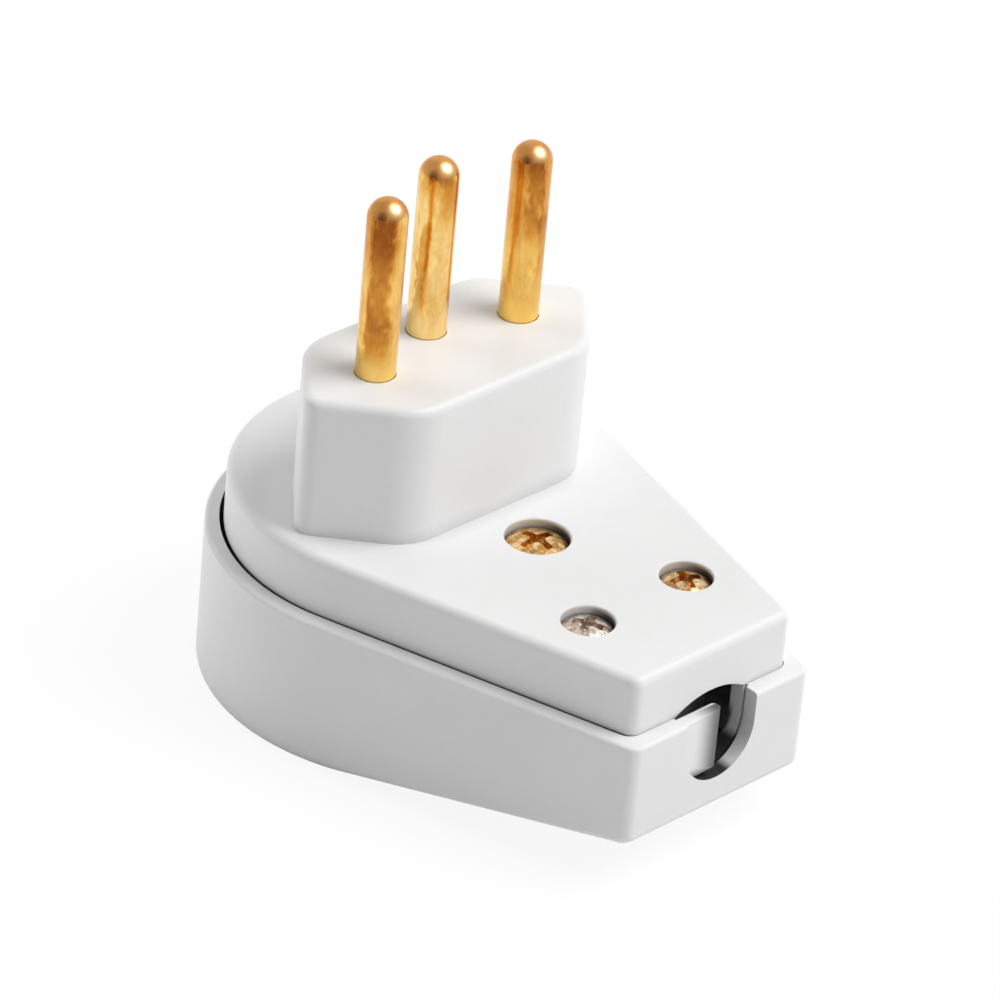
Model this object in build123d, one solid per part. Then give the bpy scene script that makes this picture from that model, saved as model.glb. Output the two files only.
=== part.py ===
from build123d import *
from collections import namedtuple
from math import asin, atan2, cos, hypot, radians, sin, tan
import os

# A rewirable right-angle plug with three round pins. The flat back lies on Z = 0, the pins point
# along +Z and the cable leaves along +X. Lengths are in millimetres, angles in degrees.

# Pins
pin_diameter = 4.0
pin_length = 19.0          # pin face to the tip of the dome
line_spacing = 19.0        # between the axes of the two outer pins
earth_offset = 3.0         # how far the middle pin is set back, away from the cable
shank_step = 0.3           # radial step from the pin to its thicker shank in the block
terminal_diameter = 7.0
terminal_length = 8.0
wire_hole_diameter = 2.8
wire_hole_setback = 3.2    # wire hole's axis below the top of the terminal head
pin_clearance = 0.05       # radial, between a pin and its sleeve
neck_relief = 0.1          # radial, at the shank end of the tapered neck in the pin face
neck_rise = 0.1            # how far the neck shows above the pin face

# Pin block, an elongated hexagon with its points beyond the outer pins
block_width = 17.0
block_height = 14.8        # top face of the cover to the pin face
block_flat_overrun = 1.7   # flat sides run this far past the outer pins' axes
block_point_reach = 9.2    # from an outer pin's axis to the hexagon's point
block_wall = 2.0
block_point_radius = 1.8   # upright edges at the hexagon's points
block_side_radius = 6.0    # upright edges at the ends of its flat sides
block_edge_radius = 0.9
pin_face_thickness = 3.0
pin_lip_thickness = 0.9    # skin of the pin face above the shank
sleeve_wall = 1.6

# Body outline seen along the pins: a round head that tapers to a square cable end
head_margin = 3.5          # from the hexagon's points to the outside of the head
cable_reach = 40.4         # pin line to the cable end face
cable_end_width = 23.6
end_corner_radius = 1.4
cover_corner_radius = 1.3
cavity_corner_radius = 1.5

# Heights of the body
head_depth = 15.8          # flat back to the parting plane
cover_height = 6.2         # parting plane to the cover's top face
back_slope = 8.6           # of the tail's back
back_slope_start = 8.0     # from the pin line
back_blend_radius = 24.0
back_edge_radius = 0.9
rim_edge_radius = 0.45
cover_edge_radius = 0.9

# Walls of the two shells
rear_wall = 1.58
rear_wall_shift = 0.24     # thicker at the cable end and thinner round the head by this much
rear_floor = 2.0
shell_gap = 0.27           # between the rear shell's rim and the cover
skirt_step = 0.5           # how far the skirt stands in from the cover's side
cover_wall = 1.8
cover_thickness = 2.2
skirt_depth = 5.0          # how far the cover's skirt reaches below the parting plane

# Cable mouth
mouth_width = 9.2
mouth_depth = 7.7          # parting plane to the bottom of the U
arch_rise = 1.3            # height of the cover's arch above the parting plane
tongue_reach = 4.8         # how far the cord-grip tongue covers the mouth, from its near side
tongue_recess = 0.2        # behind the end face at the tongue's root
tongue_sweep = 0.15        # how much deeper the tongue's tip stands than its root
tongue_depth = 6.6         # parting plane to the tongue's lower edge
tongue_nose_radius = 0.5   # upright edges of the tip
collar_wall = 1.0          # round the U, behind the end wall
collar_reach = 3.35        # end face to the collar's inner end
collar_groove = 0.35       # width and depth of the groove behind the tongue
collar_gap = 0.15          # between the collar and the cover

# Casing screws: one on the centre line by the pin block, two at the cable end
body_screw_setback = 5.8   # from the block's side to the screw's axis
body_head_diameter = 6.0
body_shank_diameter = 3.5
body_screw_length = 14.0   # under the head
body_cross_span = 3.8
end_screw_setback = 12.4   # from the cable end face
end_screw_spacing = 13.2
end_head_diameter = 4.8
end_shank_diameter = 2.9
end_screw_length = 11.0
end_cross_span = 3.1
cross_turns = {"body": 0, "left": 25, "right": 70}
head_rim_height = 1.2
head_dome = 0.7
head_recess = 0.2          # crown of a screw head below the cover's top face
head_clearance = 0.25      # radial, in the counterbore
counterbore_edge_radius = 0.2
shank_clearance = 0.25     # radial, in the cover
thread_clearance = 0.05    # radial, in a tapped hole
screw_point_length = 1.5
screw_point_diameter = 0.8
point_clearance = 0.5      # below a screw's point
boss_wall = 1.7
cross_width = 0.8
cross_depth = 1.2          # below the crown of the head
cross_core = 1.5           # diameter of the cone in the middle of the cross

# Terminal screws and the posts that hold the terminal heads up
terminal_screw_diameter = 3.0
terminal_head_diameter = 4.8
terminal_head_height = 1.6
terminal_bite = 0.3        # between the screw's tip and the middle of the wire hole
slot_width = 0.8
slot_depth = 0.8
post_wall = 1.3
post_clearance = 0.3       # round and below a terminal screw's head
post_gap = 0.1             # between a post and the terminal head above it

# Levels and reaches worked out from the sizes above
shank_diameter = pin_diameter + 2 * shank_step
block_point = line_spacing / 2 + block_point_reach
block_flat = line_spacing / 2 + block_flat_overrun
head_radius = block_point + head_margin
pin_line = (head_radius - cable_reach) / 2
end_face = pin_line + cable_reach
parting = head_depth
top = parting + cover_height
pin_face = top + block_height
cover_inset = rear_wall + shell_gap
cover_under = top - cover_thickness
skirt_bottom = parting - skirt_depth
mouth_reach = cover_inset + 2 * cover_wall
screw_seat = top - head_recess - head_dome - head_rim_height
terminal_top = parting + terminal_length / 2
terminal_bottom = terminal_top - terminal_length
wire_hole_level = terminal_top - wire_hole_setback

pin_places = {
    "line": (pin_line, -line_spacing / 2),
    "neutral": (pin_line, line_spacing / 2),
    "earth": (pin_line - earth_offset, 0),
}

Screw = namedtuple("Screw", "place head shank length cross turn")
body_screw_place = (pin_line + block_width / 2 + body_screw_setback, 0)
casing_screws = {
    "body_screw": Screw(
        body_screw_place,
        body_head_diameter,
        body_shank_diameter,
        body_screw_length,
        body_cross_span,
        cross_turns["body"],
    )
}
for side, sign in (("left", -1), ("right", 1)):
    casing_screws[f"{side}_end_screw"] = Screw(
        (end_face - end_screw_setback, sign * end_screw_spacing / 2),
        end_head_diameter,
        end_shank_diameter,
        end_screw_length,
        end_cross_span,
        cross_turns[side],
    )


def prism(plan, bottom, height_to):
    """A plan outline drawn up between two levels."""
    return Pos(0, 0, bottom) * extrude(plan, height_to - bottom)


def rod(place, radius, bottom, height_to):
    """An upright cylinder between two levels."""
    return prism(Pos(*place) * Circle(radius), bottom, height_to)


def top_edges(solid):
    """Edges round a solid's highest face."""
    return solid.faces().sort_by(Axis.Z)[-1].edges()


def border(faces):
    """Edges round a group of faces, without those between two of them."""
    edges = [edge for face in faces for edge in face.edges()]
    return [edge for edge in edges if sum(edge.is_same(other) for other in edges) == 1]


def outline(inset, corner_radius):
    """The body's plan outline, moved inwards by inset on every side."""
    half_end = cable_end_width / 2
    lean = asin(head_radius / hypot(cable_reach, half_end)) - atan2(half_end, cable_reach)
    radius = head_radius - inset
    reach = cable_reach - inset
    half = half_end - inset * (1 - sin(lean)) / cos(lean)
    far_side = (radius * sin(lean), radius * cos(lean))
    near_side = (radius * sin(lean), -radius * cos(lean))
    edges = [
        ThreePointArc(far_side, (-radius, 0), near_side),
        Polyline(near_side, (reach, -half), (reach, half), far_side),
    ]
    face = make_face(edges)
    corners = face.vertices().sort_by(Axis.X)[-2:]
    return Pos(pin_line, 0) * fillet(corners, corner_radius)


def hexagon(inset):
    """The pin block's plan outline, moved inwards by inset on every side."""
    half = block_width / 2
    slant = hypot(half, block_point - block_flat)
    point = block_point - inset * slant / half
    side = half - inset
    flat = block_flat + inset * (block_point - block_flat - slant) / half
    corners = [(0, -point), (side, -flat), (side, flat), (0, point), (-side, flat), (-side, -flat)]
    face = make_face(Polyline(*corners, close=True))
    face = fillet(face.vertices().sort_by(Axis.Y)[1:-1], block_side_radius)
    points = face.vertices().sort_by(Axis.Y)
    return Pos(pin_line, 0) * fillet([points[0], points[-1]], block_point_radius)


def above_back(lift):
    """All that lies above the back, raised by lift: flat under the head, sloping up along the tail."""
    far = 2 * (head_radius + cable_reach)
    bend = pin_line + back_slope_start
    rise = lift + far * tan(radians(back_slope))
    ceiling = far + rise
    corners = [(-far, lift), (bend, lift), (bend + far, rise), (bend + far, ceiling), (-far, ceiling)]
    face = make_face(Polyline(*corners, close=True))
    knee = face.vertices().sort_by_distance((bend, lift))[0]
    return extrude(Plane.XZ * fillet(knee, back_blend_radius), far, both=True)


def from_end(section, reach):
    """A bar with a section drawn in the YZ plane, from the end face inwards."""
    return Pos(end_face, 0, 0) * extrude(Plane.YZ * section, -reach)


def notch_section(outset):
    """The U of the mouth in the rear shell, moved outwards by outset."""
    half = mouth_width / 2 + outset
    spring = parting - mouth_depth + mouth_width / 2
    bowl = ThreePointArc((-half, spring), (0, spring - half), (half, spring))
    sides = Polyline((half, spring), (half, top), (-half, top), (-half, spring))
    return make_face([bowl, sides])


def arch_section():
    """The flat arch over the mouth in the cover, with the wider slot below it in the skirt."""
    half = mouth_width / 2
    slot = half + collar_wall + collar_gap
    crown = ThreePointArc((-half, parting), (0, parting + arch_rise), (half, parting))
    right = [(half, parting), (slot, parting), (slot, skirt_bottom)]
    left = [(-slot, skirt_bottom), (-slot, parting), (-half, parting)]
    return make_face([crown, Polyline(*right, *left)])


def cable_mouth():
    """The U through end wall and collar, all but the cord-grip tongue that covers its near part."""
    start = -mouth_width / 2
    tip = start + tongue_reach
    root = end_face - tongue_recess
    setback = cover_inset - collar_groove
    back = end_face - setback
    corners = [(root, start), (root - tongue_sweep, tip), (back, tip), (back, start)]
    plan = make_face(Polyline(*corners, close=True))
    plan = fillet(plan.vertices().sort_by(Axis.Y)[-2:], tongue_nose_radius)
    groove = Pos(-setback, 0, 0) * from_end(notch_section(collar_groove), collar_groove)
    return from_end(notch_section(0), mouth_reach) + groove - prism(plan, parting - tongue_depth, top)


def rear_shell():
    """Half of the casing behind the parting plane, with bosses, posts and a collar in the mouth."""
    body = extrude(outline(0, end_corner_radius), parting) & above_back(0)
    back_faces = [face for face in body.faces() if face.normal_at().Z < -0.5]
    body = fillet(border(back_faces), back_edge_radius)
    body = fillet(top_edges(body), rim_edge_radius)
    hollow = Pos(-rear_wall_shift, 0) * outline(rear_wall, cavity_corner_radius)
    shell = body - (extrude(hollow, top) & above_back(rear_floor))
    inside = extrude(outline(rear_wall / 2, end_corner_radius), parting) & above_back(rear_floor / 2)
    shell += Pos(0, 0, -collar_gap) * (from_end(notch_section(collar_wall), collar_reach) & inside)
    holes = []
    for screw in casing_screws.values():
        point = screw_seat - screw.length
        shell += rod(screw.place, screw.shank / 2 + boss_wall, 0, parting) & inside
        holes.append(rod(screw.place, screw.shank / 2 + thread_clearance, point - point_clearance, top))
    for place in pin_places.values():
        bore = terminal_head_diameter / 2 + post_clearance
        shell += rod(place, bore + post_wall, 0, terminal_bottom - post_gap) & inside
        holes.append(rod(place, bore, terminal_bottom - terminal_head_height - post_clearance, top))
    for hole in holes:
        shell -= hole
    return shell - cable_mouth()


def counterbore(screw):
    """Room for a screw's head in the cover, flared at the top to leave a rounded rim."""
    radius = screw.head / 2 + head_clearance
    flare = counterbore_edge_radius
    room = rod(screw.place, radius, screw_seat, top) + rod(screw.place, radius + 2 * flare, top, top + flare)
    circles = room.edges().filter_by(GeomType.CIRCLE)
    rim = circles.group_by(SortBy.RADIUS)[0].sort_by(Axis.Z)[-1]
    return fillet(rim, flare)


def front_shell():
    """Cover with the pin block on it, a skirt inside the rear shell's rim, and the pins' sleeves."""
    cover = prism(outline(cover_inset, cover_corner_radius), parting, top)
    cover = fillet(top_edges(cover), min(cover_edge_radius, cover_corner_radius))
    cover += prism(outline(cover_inset + skirt_step, cover_corner_radius), skirt_bottom, parting)
    block = prism(hexagon(0), cover_under, pin_face)
    block = fillet(top_edges(block), block_edge_radius)
    shell = cover + block
    shell -= prism(outline(cover_inset + cover_wall, cover_corner_radius), skirt_bottom, cover_under)
    shell -= prism(hexagon(block_wall), cover_under, pin_face - pin_face_thickness)
    inside = prism(outline(cover_inset + cover_wall / 2, cover_corner_radius), parting, top)
    for place in pin_places.values():
        bore = shank_diameter / 2 + pin_clearance
        shell += rod(place, bore + sleeve_wall, terminal_top, pin_face - pin_face_thickness)
        shell -= rod(place, bore, terminal_top, pin_face - pin_lip_thickness)
        shell -= rod(place, pin_diameter / 2 + pin_clearance, terminal_top, pin_face)
    for screw in casing_screws.values():
        boss = screw.head / 2 + head_clearance + boss_wall
        shell += rod(screw.place, boss, parting, cover_under) & inside
        shell -= counterbore(screw)
        shell -= rod(screw.place, screw.shank / 2 + shank_clearance, parting, top)
    return shell - from_end(arch_section(), mouth_reach)


def contact_pin(place):
    """Turned pin: domed contact, tapered neck, thicker shank, terminal head with a cross hole."""
    shoulder = pin_face - pin_lip_thickness
    radius = pin_diameter / 2
    dome = pin_face + pin_length - radius
    neck_top = pin_face + neck_rise
    pin = rod(place, radius, neck_top, dome) + Pos(*place, dome) * Sphere(radius)
    neck = Cone(radius - neck_relief, radius, neck_top - shoulder)
    pin += Pos(*place, (shoulder + neck_top) / 2) * neck
    pin += rod(place, shank_diameter / 2, terminal_top, shoulder)
    pin += rod(place, terminal_diameter / 2, terminal_bottom, terminal_top)
    wire_hole = Rot(0, 90, 0) * Cylinder(wire_hole_diameter / 2, 2 * terminal_diameter)
    pin -= Pos(*place, wire_hole_level) * wire_hole
    tapped = terminal_screw_diameter / 2 + thread_clearance
    return pin - rod(place, tapped, terminal_bottom, wire_hole_level)


def terminal_screw(place):
    """Slotted cheese-head screw, driven up into the terminal head from the back."""
    under = terminal_bottom - terminal_head_height
    screw = rod(place, terminal_screw_diameter / 2, terminal_bottom, wire_hole_level - terminal_bite)
    screw += rod(place, terminal_head_diameter / 2, under, terminal_bottom)
    return screw - Pos(*place, under) * Box(terminal_diameter, slot_width, 2 * slot_depth)


def casing_screw(screw):
    """Screw with a domed head, a cross recess and a blunt conical point."""
    crown = head_rim_height + head_dome
    radius = screw.head / 2
    ball = (radius**2 + head_dome**2) / (2 * head_dome)
    half_angle = asin(radius / ball) / 2
    shoulder = (ball * sin(half_angle), crown - ball * (1 - cos(half_angle)))
    shank = screw.shank / 2
    tip = (screw_point_diameter / 2, -screw.length)
    taper_start = (shank, screw_point_length - screw.length)
    edges = [
        Polyline((0, crown), (0, -screw.length), tip, taper_start, (shank, 0)),
        Polyline((shank, 0), (radius, 0), (radius, head_rim_height)),
        ThreePointArc((radius, head_rim_height), shoulder, (0, crown)),
    ]
    turned = revolve(Plane.XZ * make_face(edges), Axis.Z)
    arm = Pos(0, 0, crown) * Box(screw.cross, cross_width, 2 * cross_depth)
    core = Pos(0, 0, crown - cross_depth / 2) * Cone(cross_width / 2, cross_core / 2, cross_depth)
    for cut in (arm, Rot(0, 0, 90) * arm, core):
        turned -= cut
    return Pos(*screw.place, screw_seat) * Rot(0, 0, screw.turn) * turned


parts = {"front_shell": front_shell(), "rear_shell": rear_shell()}
for name, place in pin_places.items():
    parts[f"{name}_pin"] = contact_pin(place)
    parts[f"{name}_terminal_screw"] = terminal_screw(place)
for name, screw in casing_screws.items():
    parts[name] = casing_screw(screw)

os.makedirs("parts", exist_ok=True)
for name, part in parts.items():
    part.label = name
    export_step(part, f"parts/{name}.step")
    print(name, len(part.solids()), round(part.volume, 1))
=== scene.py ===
import bpy
from math import cos, pi, radians, sin
from mathutils import Matrix, Vector


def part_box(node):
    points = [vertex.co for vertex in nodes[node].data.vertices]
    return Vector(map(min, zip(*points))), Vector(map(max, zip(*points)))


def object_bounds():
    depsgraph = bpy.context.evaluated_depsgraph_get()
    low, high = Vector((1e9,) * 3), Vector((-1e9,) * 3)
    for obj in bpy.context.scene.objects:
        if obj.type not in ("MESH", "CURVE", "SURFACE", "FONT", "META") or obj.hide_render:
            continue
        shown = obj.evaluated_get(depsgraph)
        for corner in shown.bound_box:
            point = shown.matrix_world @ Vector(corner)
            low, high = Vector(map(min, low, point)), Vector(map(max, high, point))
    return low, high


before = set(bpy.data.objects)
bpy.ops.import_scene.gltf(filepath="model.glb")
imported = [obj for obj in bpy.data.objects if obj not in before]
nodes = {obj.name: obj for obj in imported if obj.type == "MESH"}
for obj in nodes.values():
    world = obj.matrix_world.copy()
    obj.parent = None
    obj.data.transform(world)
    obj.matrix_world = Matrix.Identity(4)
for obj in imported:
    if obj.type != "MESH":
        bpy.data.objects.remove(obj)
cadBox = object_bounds()
print("frame loaded:", ", ".join(sorted(nodes)))


class Sock:  # a node's output, so that shader maths reads as plain sums
    def __init__(self, net, socket):
        self.net = net
        self.socket = socket

    def sum(self, operation, *values):
        return self.net.add("ShaderNodeMath", {"operation": operation}, dict(enumerate(values)))

    def __add__(self, other):
        return self.sum("ADD", self, other)

    def __radd__(self, other):
        return self.sum("ADD", other, self)

    def __sub__(self, other):
        return self.sum("SUBTRACT", self, other)

    def __rsub__(self, other):
        return self.sum("SUBTRACT", other, self)

    def __mul__(self, other):
        return self.sum("MULTIPLY", self, other)

    def __rmul__(self, other):
        return self.sum("MULTIPLY", other, self)

    def __truediv__(self, other):
        return self.sum("DIVIDE", self, other)

    def __abs__(self):
        return self.sum("ABSOLUTE", self)

    def most(self, other):
        return self.sum("MAXIMUM", self, other)


class Net:  # a node tree and the few ways of adding to it
    mix = {"factor": 0, "first": 6, "second": 7, "result": 2}  # by number, because the names repeat

    def __init__(self, tree):
        self.tree = tree
        tree.nodes.clear()

    def add(self, kind, settings=None, sockets=None, out=0):
        node = self.tree.nodes.new(kind)
        for name, value in (settings or {}).items():
            if name == "stops":
                ramp = node.color_ramp
                while len(ramp.elements) < len(value):
                    ramp.elements.new(1.0)
                for element, (position, colour) in zip(ramp.elements, value):
                    element.position = position
                    element.color = (*colour, 1)
            else:
                setattr(node, name, value)
        for name, value in (sockets or {}).items():
            if isinstance(value, Sock):
                self.tree.links.new(value.socket, node.inputs[name])
            else:
                node.inputs[name].default_value = value
        return Sock(self, node.outputs[out]) if node.outputs else None

    def ease(self, value, span, start=0.0):  # 0 at the span's first end, 1 at its second, soft at both
        first, second = span
        sockets = {"Value": value, "From Min": start + first, "From Max": start + second}
        return self.add("ShaderNodeMapRange", {"interpolation_type": "SMOOTHSTEP"}, sockets)

    def tint(self, factor, first, second):  # colours mixed by factor
        first, second = (c if isinstance(c, Sock) else (*c, 1) for c in (first, second))
        sockets = {self.mix["factor"]: factor, self.mix["first"]: first, self.mix["second"]: second}
        return self.add("ShaderNodeMix", {"data_type": "RGBA"}, sockets, self.mix["result"])

    def ramp(self, value, stops):
        return self.add("ShaderNodeValToRGB", {"stops": stops}, {"Fac": value})

    def vector(self, operation, *values, out="Vector"):
        return self.add("ShaderNodeVectorMath", {"operation": operation}, dict(enumerate(values)), out)

    def dot(self, first, second):
        return self.vector("DOT_PRODUCT", first, second, out="Value")

    def flat(self, vector):  # a vector without its height
        return self.vector("MULTIPLY", vector, (1.0, 1.0, 0.0))

    def part(self, vector, axis):  # one of a vector's three numbers
        return self.add("ShaderNodeSeparateXYZ", sockets={0: vector}, out=axis)

    def place(self):  # where a point is in the part's own frame, in metres
        return self.add("ShaderNodeTexCoord", out="Object")

    def cloud(self, place, size, detail=2.0, rough=0.5, warp=0.0):  # soft noise, about 0 to 1
        grain = (size, size, size) if isinstance(size, float) else size
        spread = self.vector("MULTIPLY", place, tuple(1 / g for g in grain))
        sockets = {
            "Vector": spread,
            "Scale": 1.0,
            "Detail": detail,
            "Roughness": rough,
            "Distortion": warp,
        }
        return self.add("ShaderNodeTexNoise", {"noise_dimensions": "3D"}, sockets)

    def sway(self, place, **look):  # the same noise, about -0.5 to 0.5
        return self.cloud(place, **look) - 0.5

    def openness(self, reach):  # 0 deep in a crevice, 1 where nothing stands near
        return self.add("ShaderNodeAmbientOcclusion", {"samples": 4}, {"Distance": reach}, "AO")

    def rays(self, kind):  # 1 for light paths of this kind, 0 for others
        return self.add("ShaderNodeLightPath", out="Is " + kind + " Ray")

    def surface(self, height, sockets):  # the finished surface, with bumps of this height in metres
        bump = self.add("ShaderNodeBump", sockets={"Strength": 1.0, "Distance": 1.0, "Height": height})
        shader = self.add("ShaderNodeBsdfPrincipled", sockets={**sockets, "Normal": bump})
        self.add("ShaderNodeOutputMaterial", sockets={"Surface": shader})


def newMaterial(name):
    material = bpy.data.materials.new(name)
    material.use_nodes = True
    return material, Net(material.node_tree)


def dress(node, material):
    obj = nodes[node]
    obj.data.materials.clear()
    obj.data.materials.append(material)


# camera, fitted to the photograph: angles in degrees, lengths in metres, pixels of a 1000 px frame
view = {
    "azimuth": 43.3597,
    "elevation": 31.4320,
    "roll": 5.3700,
    "distance": 0.65,
    "target": (-0.0031, 0.0, 0.0238),
    "targetPixel": (479.597, 483.583),
    "pixelsPerMetre": 10326.13,
    "frame": 1000,
    "sensor": 36.0,
    "clipStart": 0.01,
}


def setCamera(look):
    a, e, r = (radians(look[k]) for k in ("azimuth", "elevation", "roll"))
    back = Vector((sin(a) * cos(e), -cos(a) * cos(e), sin(e)))
    level = Vector((cos(a), sin(a), 0.0))
    rise = back.cross(level)
    right = cos(r) * level + sin(r) * rise
    up = cos(r) * rise - sin(r) * level
    middle = look["frame"] / 2
    across = (middle - look["targetPixel"][0]) / look["pixelsPerMetre"]
    down = (middle - look["targetPixel"][1]) / look["pixelsPerMetre"]
    spot = Vector(look["target"]) + look["distance"] * back + across * right - down * up
    data = bpy.data.cameras.new("photoView")
    data.sensor_width = look["sensor"]
    data.lens = look["sensor"] * look["pixelsPerMetre"] * look["distance"] / look["frame"]
    data.clip_start = look["clipStart"]
    camera = bpy.data.objects.new("photoView", data)
    bpy.context.scene.collection.objects.link(camera)
    turn = Matrix((right, up, back)).transposed().to_4x4()
    camera.matrix_world = Matrix.Translation(spot) @ turn
    bpy.context.scene.camera = camera


setCamera(view)
print("camera set")

# in the finishes below lengths are in metres, and a span runs from where a mark begins to where it is
# full; first the plated casing screws, one of them paler than the others
plating = {
    "body_screw": {"bright": (1.0, 0.73, 0.36), "deep": (0.56, 0.27, 0.06), "rough": 0.26},
    "left_end_screw": {"bright": (1.0, 0.94, 0.88), "deep": (0.52, 0.39, 0.30), "rough": 0.26},
    "right_end_screw": {"bright": (1.0, 0.78, 0.50), "deep": (0.55, 0.28, 0.08), "rough": 0.26},
}
# the terminal screws inside, plain turned steel
terminal = {"bright": (0.66, 0.65, 0.62), "deep": (0.45, 0.44, 0.42), "rough": 0.3}
# what marks the steel of them all, with painted shade in the cross recesses
steelMarks = {
    "patches": {"size": 0.0009, "detail": 4.0, "rough": 0.6, "warp": 0.4},
    "patchSpan": (0.38, 0.58),
    "patchShare": 0.9,
    "recessShadeReach": 0.0009,
    "recessShadeSpan": (0.85, 0.35),
    "recessShadeShare": 0.3,
    "scuffs": {"size": (0.00012, 0.0009, 0.0003)},
    "scuffRough": 0.12,
    "scuffHeight": 0.000003,
    "dents": {"size": 0.0008, "detail": 1.0},
    "dentHeight": 0.0002,
}


def markedSteel(name, look, marks):
    material, net = newMaterial(name)
    place = net.place()
    patches = net.ease(net.cloud(place, **marks["patches"]), marks["patchSpan"]) * marks["patchShare"]
    # painted shade deep in the cross recess, where little light reaches
    recessShade = net.ease(net.openness(marks["recessShadeReach"]), marks["recessShadeSpan"]) * marks["recessShadeShare"]
    scuffs = net.cloud(place, **marks["scuffs"])
    dents = net.cloud(place, **marks["dents"])
    net.surface(dents * marks["dentHeight"] + scuffs * marks["scuffHeight"], {
        "Base Color": net.tint(recessShade.most(patches), look["bright"], look["deep"]),
        "Metallic": 1.0,
        "Roughness": look["rough"] + marks["scuffRough"] * scuffs,
    })
    return material


for screw, look in plating.items():
    dress(screw, markedSteel("plated_" + screw, look, steelMarks))
turnedSteel = markedSteel("turnedSteel", terminal, steelMarks)
for contact in ("line", "neutral", "earth"):
    dress(contact + "_terminal_screw", turnedSteel)
print("screws finished")

# the white moulded casing
casing = {
    "white": (0.86, 0.86, 0.86),
    "dull": (0.80, 0.80, 0.795),
    "broadClouds": {"size": 0.011, "detail": 3.0},
    "broadShare": 0.7,
    "fineClouds": {"size": 0.0007},
    "fineShare": 0.3,
    "dullSpan": (0.38, 0.72),
    "dullShare": 0.35,
    "speck": (0.60, 0.59, 0.57),
    "dust": {"size": 0.00045, "detail": 0.0},
    "dustSpan": (0.82, 0.90),
    "dustShare": 0.15,
    "paintedShade": (0.04, 0.04, 0.04),  # painted shade: black in the gap between the shells and deep in the openings
    "gapReach": 0.004,
    "gapSpan": (0.42, 0.08),
    "gapShare": 0.9,
    "pinFace": 0.0368,  # painted shade left off at the block's top, round the pins
    "pinFaceSpan": (-0.0005, -0.001),
    "rough": 0.42,
    "roughClouds": {"size": 0.004, "detail": 4.0},
    "roughSpread": 0.16,
    "ior": 1.5,
    "peel": {"size": 0.0016, "detail": 1.0},  # soft waviness of the moulded skin
    "peelHeight": 0.00002,
    "grain": {"size": 0.00022, "detail": 1.0},  # fine texture from the mould
    "grainHeight": 0.000002,
    "hole": {  # painted shade round each casing screw
        "top": 0.022,
        "topSpan": (-0.0001, -0.0006),
        "room": 0.00025,  # between a screw head and the wall of its hole
        "wallSpan": (0.0003, 0.0001),
        "darkSide": (0.727, 0.687, 0.0),
        "darkSpan": (-0.4, 0.8),
        "least": 0.28,
        "darkShare": 0.67,
    },
    "mouth": {  # painted shade in the mouth for the cord: each patch of it has the spans that bound it
        "endFace": 0.0313,
        "half": 0.0046,
        "sill": 0.0081,
        "parting": 0.0158,
        "tipShare": 0.92,
        "innerShare": 0.95,
        "inU": [
            ("pastWall", (0.0002, 0.00005)),
            ("depth", (0.00003, 0.00009)),
            ("depth", (0.0037, 0.0035)),
            ("overSill", (-0.0006, -0.0003)),
        ],
        "tip": [  # of the tongue
            ("across", (-0.00345, 0.000092)),
            ("across", (0.00092, 0.000598)),
            ("depth", (0.0014, 0.0011)),
            ("overParting", (0.0002, 0.0)),
        ],
        "low": [("overSill", (0.0024, 0.0007)), ("across", (0.00253, 0.00138))],
        "behind": [("overSill", (0.0030, 0.0018)), ("depth", (0.0014, 0.0018))],
        "deep": [("overSill", (0.0056, 0.0036)), ("depth", (0.0026, 0.0033))],
        "arch": [
            ("pastWall", (0.0002, 0.0001)),
            ("overParting", (0.0, 0.0001)),
            ("overParting", (0.0016, 0.0014)),
            ("depth", (0.00188, 0.00195)),
            ("depth", (0.0095, 0.009)),
        ],
        "inside": [
            ("aside", (0.0095, 0.009)),
            ("height", (0.0052, 0.0058)),
            ("height", (0.0209, 0.0203)),
            ("depth", (0.0033, 0.0038)),
            ("depth", (0.0095, 0.009)),
        ],
    },
}


def mouthPaintedShade(net, place, look):  # painted shade on the tongue towards its tip, low in the U and behind the arch
    x, y, z = (net.part(place, axis) for axis in "XYZ")
    aside = abs(y)
    measures = {
        "across": y,
        "aside": aside,
        "pastWall": aside - look["half"],
        "depth": look["endFace"] - x,
        "height": z,
        "overSill": z - look["sill"],
        "overParting": z - look["parting"],
    }

    def patch(name):  # full where all its spans are
        share = 1.0
        for measure, span in look[name]:
            share = share * net.ease(measures[measure], span)
        return share

    tip = patch("tip") * look["tipShare"]
    outer = patch("inU") * tip.most(patch("low")).most(patch("behind")).most(patch("deep"))
    return outer.most(patch("arch").most(patch("inside")) * look["innerShare"])


def screwHolePaintedShade(net, place, look, screw):  # painted shade down the wall of a screw's hole, more on one side
    low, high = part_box(screw)
    axis = (low + high) / 2
    wall = (high.x - low.x) / 2 + look["room"]
    offset = net.flat(net.vector("SUBTRACT", place, tuple(axis)))
    near = net.ease(net.vector("LENGTH", offset, out="Value"), look["wallSpan"], wall)
    facing = net.dot(net.vector("NORMALIZE", offset), look["darkSide"])
    uneven = look["least"] + look["darkShare"] * net.ease(facing, look["darkSpan"])
    return near * net.ease(net.part(place, "Z"), look["topSpan"], look["top"]) * uneven


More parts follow.
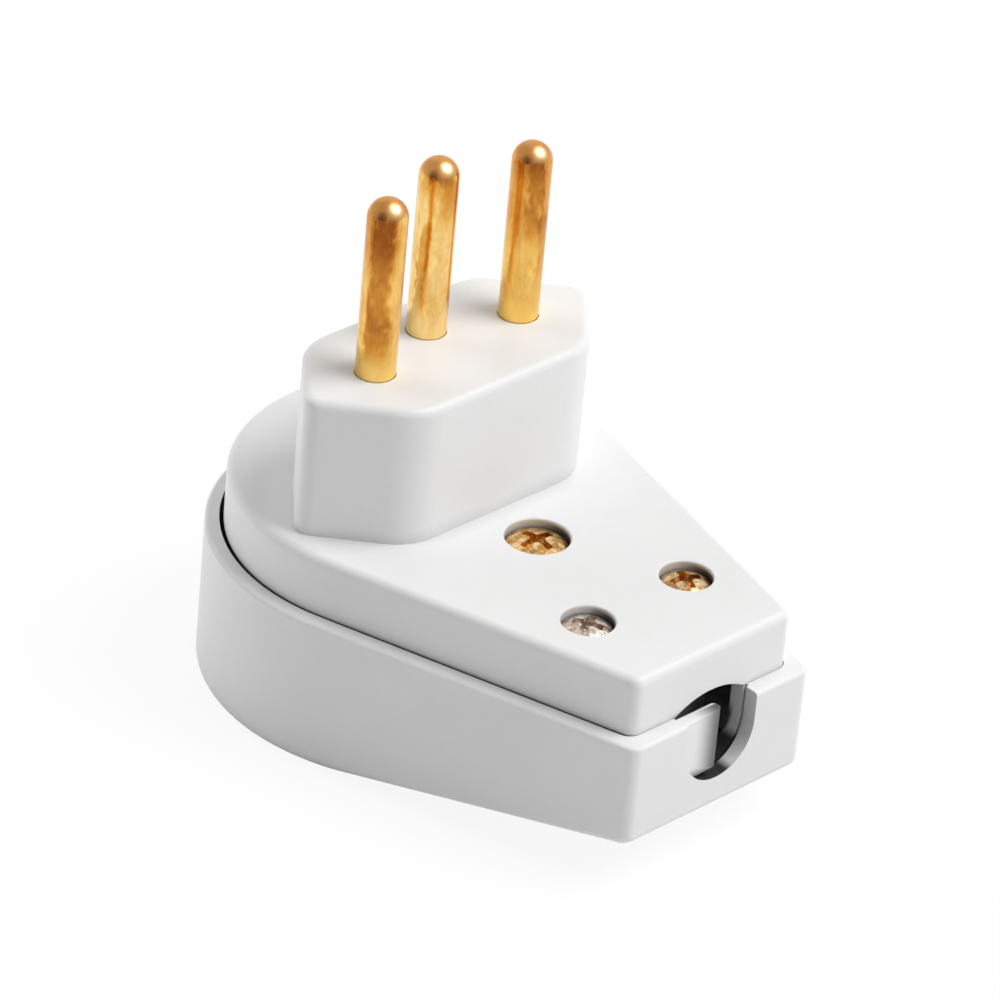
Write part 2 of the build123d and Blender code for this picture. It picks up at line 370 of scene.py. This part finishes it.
def mouldedPlastic(look):
    material, net = newMaterial("mouldedWhite")
    place = net.place()
    broad = net.cloud(place, **look["broadClouds"]) * look["broadShare"]
    fine = net.cloud(place, **look["fineClouds"]) * look["fineShare"]
    dull = net.ease(broad + fine, look["dullSpan"]) * look["dullShare"]
    dust = net.ease(net.cloud(place, **look["dust"]), look["dustSpan"]) * look["dustShare"]
    # painted shade where nearby surfaces hem a point in, in gaps and deep openings
    paintedShade = net.ease(net.openness(look["gapReach"]), look["gapSpan"]) * look["gapShare"]
    paintedShade = paintedShade * net.ease(net.part(place, "Z"), look["pinFaceSpan"], look["pinFace"])
    paintedShade = paintedShade.most(mouthPaintedShade(net, place, look["mouth"]))
    for screw in plating:
        paintedShade = paintedShade.most(screwHolePaintedShade(net, place, look["hole"], screw))
    colour = net.tint(dull, look["white"], look["dull"])
    colour = net.tint(dust, colour, look["speck"])
    peel = net.cloud(place, **look["peel"]) * look["peelHeight"]
    grain = net.cloud(place, **look["grain"]) * look["grainHeight"]
    net.surface(peel + grain, {
        "Base Color": net.tint(paintedShade, colour, look["paintedShade"]),
        "Roughness": look["rough"] + look["roughSpread"] * net.sway(place, **look["roughClouds"]),
        "IOR": look["ior"],
    })
    return material


plastic = mouldedPlastic(casing)
for shell in ("front_shell", "rear_shell"):
    dress(shell, plastic)
print("casing finished")

# the brass pins: pale at the foot, with brown stains that fade in and out, coppery domes and a painted
# highlight on each dome
brass = {
    "foot": 0.0368,
    "footSpan": (0.80, 0.98),  # on the way from the dome to the foot, where the stains clear
    "footClear": 0.75,
    "stops": [
        (0.25, (0.84, 0.48, 0.115)),
        (0.5, (0.68, 0.30, 0.05)),
        (0.75, (0.46, 0.17, 0.027)),
        (1.0, (0.29, 0.085, 0.013)),
    ],
    "blotches": {"size": (0.0011, 0.0011, 0.0026), "detail": 4.0, "rough": 0.55, "warp": 0.8},
    "blotchDark": 0.5,
    "speckles": {"size": (0.0004, 0.0004, 0.0011), "detail": 3.0, "rough": 0.6},
    "speckleDark": 0.35,
    "raggedEnds": 0.35,  # how far the blotches shift a stain's ends and sides
    "raggedSides": 0.4,
    "stainCore": 0.6,  # of a stain's half width, where it is full and where it is gone
    "stainRim": 1.3,
    "rimSoft": 0.02,
    "topSoft": 0.06,
    "stopSoft": 0.12,
    "dome": (0.92, 0.42, 0.12),
    "domeFoot": 0.0538,
    "domeSpan": (0.0003, 0.0011),
    "domeShare": 0.85,
    "paintedHighlight": (1.0, 0.78, 0.46),  # painted highlight: paler on the dome where the soft box shows
    "paintedHighlightSide": (0.714, -0.13, 0.686),
    "paintedHighlightSpread": (34, 2),
    "paintedHighlightShare": 0.5,
    "rough": 0.2,
    "domeRough": 0.34,
    "roughSpread": 0.14,
    "drawn": {"size": (0.0002, 0.0002, 0.006)},  # lines left by drawing the rod
    "drawnHeight": 0.0000015,
}
# each stain: turn round the pin in degrees from -Y towards +X, half its width, where it starts and
# stops on the way from the dome to the foot, and how dark it is
pinStain = {
    "line_pin": {
        "pale": (1.0, 0.68, 0.22),
        "base": 0.20,
        "drift": 0.0,
        "stains": [
            {"turn": 37, "spread": 32, "top": -0.1, "stop": 0.84, "dark": 0.46},
            {"turn": 13, "spread": 75, "top": -0.1, "stop": 0.22, "dark": 0.34},
            # painted reflection: the dark spot at the foot of the dome
            {"turn": 31, "spread": 12, "top": -0.07, "stop": 0.0, "dark": 0.5},
        ],
    },
    "earth_pin": {
        "pale": (1.0, 0.74, 0.32),
        "base": 0.13,
        "drift": 0.031,
        "stains": [
            {"turn": 15, "spread": 12, "top": 0.25, "stop": 0.75, "dark": 0.24},
            {"turn": 88, "spread": 30, "top": -0.1, "stop": 0.22, "dark": 0.32},
            {"turn": 43, "spread": 55, "top": -0.1, "stop": 0.03, "dark": 0.35},
            # painted reflection: the dark spot at the foot of the dome
            {"turn": 31, "spread": 14, "top": -0.09, "stop": 0.0, "dark": 0.6},
        ],
    },
    "neutral_pin": {
        "pale": (1.0, 0.67, 0.18),
        "base": 0.17,
        "drift": 0.067,
        "stains": [
            {"turn": 43, "spread": 180, "top": -0.1, "stop": 0.45, "dark": 0.26},
            {"turn": 63, "spread": 20, "top": -0.1, "stop": 0.42, "dark": 0.22},
            {"turn": 38, "spread": 50, "top": -0.1, "stop": 0.04, "dark": 0.4},
            {"turn": 108, "spread": 30, "top": 0.3, "stop": 0.75, "dark": 0.22},
        ],
    },
}


def stainedBrass(node, look):
    material, net = newMaterial("brass_" + node)
    low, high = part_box(node)
    axis = (low + high) / 2
    place = net.place()
    moved = net.vector("ADD", place, (0.0, 0.0, look["drift"]))
    height = net.part(place, "Z")
    down = (brass["domeFoot"] - height) / (brass["domeFoot"] - brass["foot"])
    outward = net.vector("NORMALIZE", net.flat(net.vector("SUBTRACT", place, (axis.x, axis.y, 0.0))))
    blotch = net.sway(moved, **brass["blotches"])
    speckle = net.sway(moved, **brass["speckles"])
    ragged = down + blotch * brass["raggedEnds"]
    worn = look["base"] + blotch * brass["blotchDark"] + speckle * brass["speckleDark"]
    for stain in look["stains"]:
        turn = radians(stain["turn"])
        facing = net.dot(outward, (sin(turn), -cos(turn), 0.0))
        inner = cos(radians(stain["spread"] * brass["stainCore"]))
        outer = cos(radians(min(stain["spread"] * brass["stainRim"], 180)))
        across = net.ease(facing + blotch * brass["raggedSides"], (outer - brass["rimSoft"], inner))
        begun = net.ease(ragged, (-brass["topSoft"], brass["topSoft"]), stain["top"])
        ended = net.ease(ragged, (-brass["stopSoft"], brass["stopSoft"]), stain["stop"])
        worn = worn + across * begun * (1.0 - ended) * stain["dark"]
    clear = brass["footClear"] * net.ease(down, brass["footSpan"])
    colour = net.ramp(worn * (1.0 - clear), [(0.0, look["pale"]), *brass["stops"]])
    dome = net.ease(height, brass["domeSpan"], brass["domeFoot"])
    colour = net.tint(dome * brass["domeShare"], colour, brass["dome"])
    # painted highlight: a paler patch on the dome, turned towards where the soft box's highlight falls
    crown = net.vector("NORMALIZE", net.vector("SUBTRACT", place, (axis.x, axis.y, brass["domeFoot"])))
    paintedHighlightSpan = [cos(radians(spread)) for spread in brass["paintedHighlightSpread"]]
    paintedHighlight = net.ease(net.dot(crown, brass["paintedHighlightSide"]), paintedHighlightSpan)
    rough = brass["rough"] + (brass["domeRough"] - brass["rough"]) * dome
    net.surface(net.cloud(moved, **brass["drawn"]) * brass["drawnHeight"], {
        "Base Color": net.tint(dome * paintedHighlight * brass["paintedHighlightShare"], colour, brass["paintedHighlight"]),
        "Metallic": 1.0,
        "Roughness": rough + brass["roughSpread"] * blotch,
    })
    return material


for pin, look in pinStain.items():
    dress(pin, stainedBrass(pin, look))
print("pins finished")

# studio: a soft box at the right of the picture, a weaker one at the left that metal does not show,
# soft grey all round and a pale floor; angles in degrees, from +X towards +Y
softBoxes = {
    "rightBox": {
        "azimuth": 40.0,
        "elevation": 57.0,
        "distance": 0.9,
        "size": 0.65,
        "level": 0.80,
        "inMetal": True,
    },
    "leftBox": {
        "azimuth": 195.0,
        "elevation": 17.0,
        "distance": 0.6,
        "size": 0.5,
        "level": 0.41,
        "inMetal": False,
    },
}
sky = {
    "zenith": 0.30,
    "horizon": 0.50,
    "riseSpan": (0.0, 0.8),
    "dark": 0.12,  # a dark patch at the near side, which the domes show
    "darkAzimuth": -79.0,
    "darkElevation": 20.0,
    "darkSpan": (0.83, 0.96),
    "glow": 0.67,  # a bright patch at the far side
    "glowAzimuth": 133.3597,
    "glowElevation": 31.4320,
    "glowSpan": (0.80, 0.97),
    "glossWhite": 0.30,  # how much of the white surroundings shows in metal
}
ground = {"size": 6.0, "drop": 0.00002, "bounce": 0.8, "whiteShare": 0.9}
pureWhite = (1, 1, 1, 1)


def heading(azimuth, elevation):
    a, e = radians(azimuth), radians(elevation)
    return Vector((cos(a) * cos(e), sin(a) * cos(e), sin(e)))


def addSoftBox(name, look):
    towards = heading(look["azimuth"], look["elevation"])
    data = bpy.data.lights.new(name, "AREA")
    data.shape = "DISK"
    data.size = look["size"]
    data.energy = look["level"] * (pi * look["distance"]) ** 2  # level 1 lights white to 1
    lamp = bpy.data.objects.new(name, data)
    bpy.context.scene.collection.objects.link(lamp)
    lamp.location = Vector(view["target"]) + towards * look["distance"]
    lamp.rotation_euler = towards.to_track_quat("Z", "Y").to_euler()
    lamp.visible_glossy = look["inMetal"]


def addSky(look):
    world = bpy.data.worlds.new("softGrey")
    world.use_nodes = True
    bpy.context.scene.world = world
    net = Net(world.node_tree)
    direction = net.add("ShaderNodeTexCoord", out="Generated")

    def patch(name):  # 1 in the middle of a patch of the sky
        middle = heading(look[name + "Azimuth"], look[name + "Elevation"])
        return net.ease(net.dot(direction, tuple(middle)), look[name + "Span"])

    dark = patch("dark")
    rise = net.ease(net.part(direction, "Z"), look["riseSpan"])
    level = look["horizon"] + (look["zenith"] - look["horizon"]) * rise
    level = level + (look["dark"] - level) * dark
    level = level + (look["glow"] - level) * patch("glow")
    grey = net.add("ShaderNodeCombineColor", sockets={0: level, 1: level, 2: level})
    lighting = net.add("ShaderNodeBackground", sockets={"Color": grey, "Strength": 1.0})
    white = net.add("ShaderNodeBackground", sockets={"Color": pureWhite, "Strength": 1.0})
    inMetal = net.rays("Glossy") * look["glossWhite"] * (1.0 - dark)
    shown = net.rays("Camera").most(net.rays("Transmission")).most(inMetal)
    mixed = net.add("ShaderNodeMixShader", sockets={0: shown, 1: lighting, 2: white})
    net.add("ShaderNodeOutputWorld", sockets={"Surface": mixed})


def addFloor(look):
    half = look["size"] / 2
    level = cadBox[0][2] - look["drop"]
    corners = [(-half, -half, level), (half, -half, level), (half, half, level), (-half, half, level)]
    mesh = bpy.data.meshes.new("floor")
    mesh.from_pydata(corners, [], [(0, 1, 2, 3)])
    floor = bpy.data.objects.new("floor", mesh)
    bpy.context.scene.collection.objects.link(floor)
    material, net = newMaterial("paleFloor")
    paper = net.add("ShaderNodeBsdfDiffuse", sockets={"Color": pureWhite})
    glow = net.add("ShaderNodeEmission", sockets={"Color": pureWhite, "Strength": 1.0})
    white = net.add("ShaderNodeMixShader", sockets={0: look["whiteShare"], 1: paper, 2: glow})
    grey = look["bounce"]
    bounce = net.add("ShaderNodeBsdfDiffuse", sockets={"Color": (grey, grey, grey, 1)})
    shown = net.rays("Camera").most(net.rays("Glossy")).most(net.rays("Transmission"))
    mixed = net.add("ShaderNodeMixShader", sockets={0: shown, 1: bounce, 2: white})
    net.add("ShaderNodeOutputMaterial", sockets={"Surface": mixed})
    mesh.materials.append(material)


for name, box in softBoxes.items():
    addSoftBox(name, box)
addSky(sky)
addFloor(ground)
bpy.context.scene.view_settings.view_transform = "Standard"
print("studio set")
